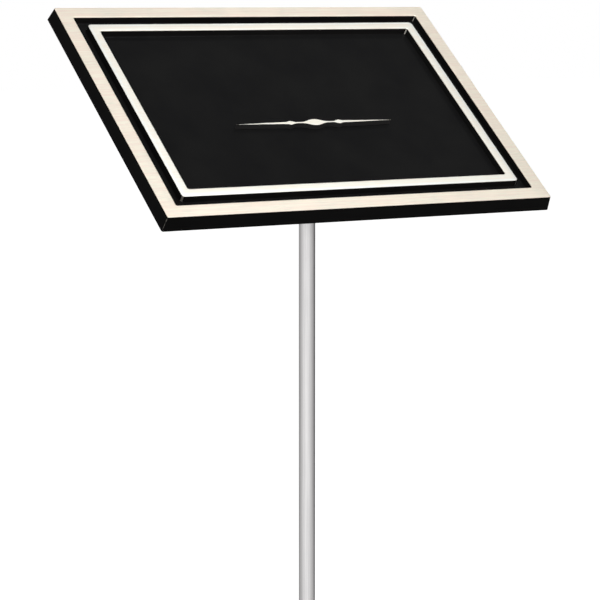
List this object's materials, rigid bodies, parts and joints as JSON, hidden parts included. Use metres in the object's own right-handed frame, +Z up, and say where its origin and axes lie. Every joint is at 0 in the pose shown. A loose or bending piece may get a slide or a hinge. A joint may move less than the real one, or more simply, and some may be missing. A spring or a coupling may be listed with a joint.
{
  "type": "lawn plaque",
  "caption": "Cast plaque with double raised border and recessed panel, leaning back on a round pointed ground stake held in an angled clamp socket.",
  "frame": {"origin": "on the stake's axis, at the level of the soil that the stake is driven into", "axes": "+Z up along the stake, +X to the reader's right, and the reading face looks towards -Y and up"},
  "size_m": [0.254, 0.1438, 0.6929],
  "materials": {
    "enamelled_bronze": "cast bronze, black satin enamel on sides, back and recesses, raised faces brushed bare and pale",
    "cast_aluminium": "as cast, lightly blasted",
    "stainless": "bright turned",
    "stake_aluminium": "satin drawn rod"
  },
  "bodies": {
    "stake": {"ground_stake": "stake_aluminium"},
    "head": {"plaque_casting": "enamelled_bronze", "stake_socket": "cast_aluminium", "socket_screw_1": "stainless", "socket_screw_2": "stainless", "socket_screw_3": "stainless", "socket_screw_4": "stainless", "lock_washer_1": "stainless", "lock_washer_2": "stainless", "lock_washer_3": "stainless", "lock_washer_4": "stainless", "set_screw_1": "stainless", "set_screw_2": "stainless"}
  },
  "joints": [
    {"name": "head_swivel", "type": "hinge", "parent": "stake", "child": "head", "pos_m": [0, 0, 0.3556], "axis": [0, 0, 1], "continuous": true}
  ]
}
